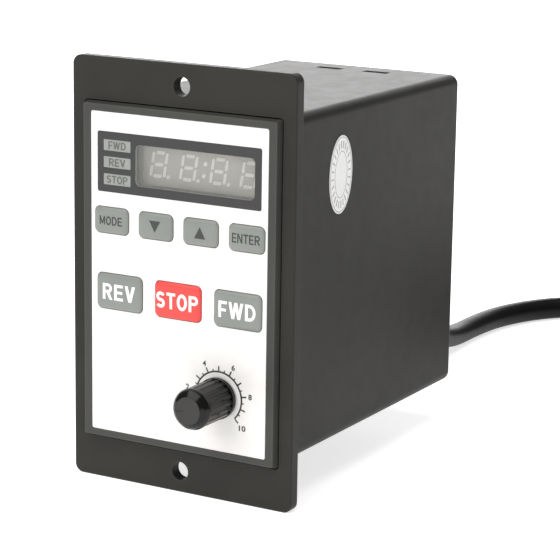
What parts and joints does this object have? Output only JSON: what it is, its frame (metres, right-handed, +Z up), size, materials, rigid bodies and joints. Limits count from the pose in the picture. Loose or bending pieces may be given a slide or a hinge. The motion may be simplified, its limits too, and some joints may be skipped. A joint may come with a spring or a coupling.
{
  "type": "panel-mount motor speed drive",
  "caption": "Black panel-mount motor speed drive: flanged box, white keypad with digital display, fluted speed knob, and a rear flexible lead ending in a connector.",
  "frame": {"origin": "centre of the flange's rear face, midway between the two mounting holes", "axes": "+X right as seen from the front, +Y rearwards into the panel, +Z up"},
  "size_m": [0.1212, 0.2435, 0.102],
  "materials": {
    "housing": "satin black moulded plastic with a fine grain",
    "panel": "satin black moulded plastic",
    "overlay": "white printed polyester sheet",
    "window": "smoked clear plastic",
    "lamp_lens": "grey translucent plastic",
    "key_grey": "grey embossed key",
    "key_red": "red embossed key",
    "switch": "black switch body",
    "plunger": "dark plunger",
    "board": "green solder resist",
    "display": "grey display block",
    "lamp": "tinted lamp epoxy",
    "chip": "black moulding compound",
    "header": "natural nylon",
    "ribbon": "grey flat cable",
    "steel": "zinc-plated steel",
    "knob": "glossy black moulded plastic",
    "knob_cap": "satin dark grey cap",
    "brass": "plain brass",
    "pot_body": "blue-black moulded plastic",
    "capacitor": "shrink sleeve",
    "ferrite": "sintered ferrite",
    "copper": "enamelled copper",
    "relay": "blue relay case",
    "film": "yellow capacitor case",
    "fuse_glass": "glass tube with nickel caps",
    "aluminium": "extruded aluminium",
    "terminal": "green terminal block",
    "lead_cores": "coloured core insulation",
    "cover": "satin black moulded plastic",
    "relief": "black flexible moulding",
    "cord": "black flexible jacket",
    "tie": "black tie band",
    "connector": "natural nylon connector",
    "seal": "white oval sticker"
  },
  "bodies": {
    "casing": {"flange": "housing", "box_shell": "housing", "front_panel": "panel", "front_overlay": "overlay", "display_window": "window", "lamp_windows": "lamp_lens", "tact_switches": "switch", "display_board": "board", "display_module": "display", "indicator_lamps": "lamp", "controller_chip": "chip", "board_headers": "header", "ribbon_cable": "ribbon", "board_screws": "steel", "potentiometer_bush": "brass", "potentiometer_body": "pot_body", "power_board": "board", "bus_capacitors": "capacitor", "transformer_core": "ferrite", "transformer_winding": "copper", "relay": "relay", "rectifier": "chip", "film_capacitor": "film", "fuse": "fuse_glass", "fuse_clips": "steel", "choke_core": "ferrite", "choke_winding": "copper", "heat_sink": "aluminium", "power_transistors": "chip", "transistor_screws": "steel", "power_terminal": "terminal", "terminal_screws": "steel", "core_leads": "lead_cores", "rear_cover": "cover", "strain_relief": "relief", "cord_lead": "cord", "cord_coil": "cord", "cord_tie": "tie", "cord_tail": "cord", "connector_shell": "connector", "connector_contacts": "brass", "side_seal": "seal"},
    "knob": {"knob_body": "knob", "knob_cap": "knob_cap", "potentiometer_shaft": "steel"},
    "mode_button": {"mode_key": "key_grey", "mode_plunger": "plunger"},
    "down_button": {"down_key": "key_grey", "down_plunger": "plunger"},
    "up_button": {"up_key": "key_grey", "up_plunger": "plunger"},
    "enter_button": {"enter_key": "key_grey", "enter_plunger": "plunger"},
    "reverse_button": {"reverse_key": "key_grey", "reverse_plunger": "plunger"},
    "stop_button": {"stop_key": "key_red", "stop_plunger": "plunger"},
    "forward_button": {"forward_key": "key_grey", "forward_plunger": "plunger"}
  },
  "joints": [
    {"name": "knob_turn", "type": "hinge", "parent": "casing", "child": "knob", "pos_m": [0.01142, 0, -0.02552], "axis": [0, 1, 0], "range_deg": [-41, 229]},
    {"name": "mode_press", "type": "slide", "parent": "casing", "child": "mode_button", "axis": [0, 1, 0], "range_m": [0, 0.0004], "stiffness_N_per_m": 900, "springref_m": -0.0006},
    {"name": "down_press", "type": "slide", "parent": "casing", "child": "down_button", "axis": [0, 1, 0], "range_m": [0, 0.0004], "stiffness_N_per_m": 900, "springref_m": -0.0006},
    {"name": "up_press", "type": "slide", "parent": "casing", "child": "up_button", "axis": [0, 1, 0], "range_m": [0, 0.0004], "stiffness_N_per_m": 900, "springref_m": -0.0006},
    {"name": "enter_press", "type": "slide", "parent": "casing", "child": "enter_button", "axis": [0, 1, 0], "range_m": [0, 0.0004], "stiffness_N_per_m": 900, "springref_m": -0.0006},
    {"name": "reverse_press", "type": "slide", "parent": "casing", "child": "reverse_button", "axis": [0, 1, 0], "range_m": [0, 0.0004], "stiffness_N_per_m": 900, "springref_m": -0.0006},
    {"name": "stop_press", "type": "slide", "parent": "casing", "child": "stop_button", "axis": [0, 1, 0], "range_m": [0, 0.0004], "stiffness_N_per_m": 900, "springref_m": -0.0006},
    {"name": "forward_press", "type": "slide", "parent": "casing", "child": "forward_button", "axis": [0, 1, 0], "range_m": [0, 0.0004], "stiffness_N_per_m": 900, "springref_m": -0.0006}
  ]
}
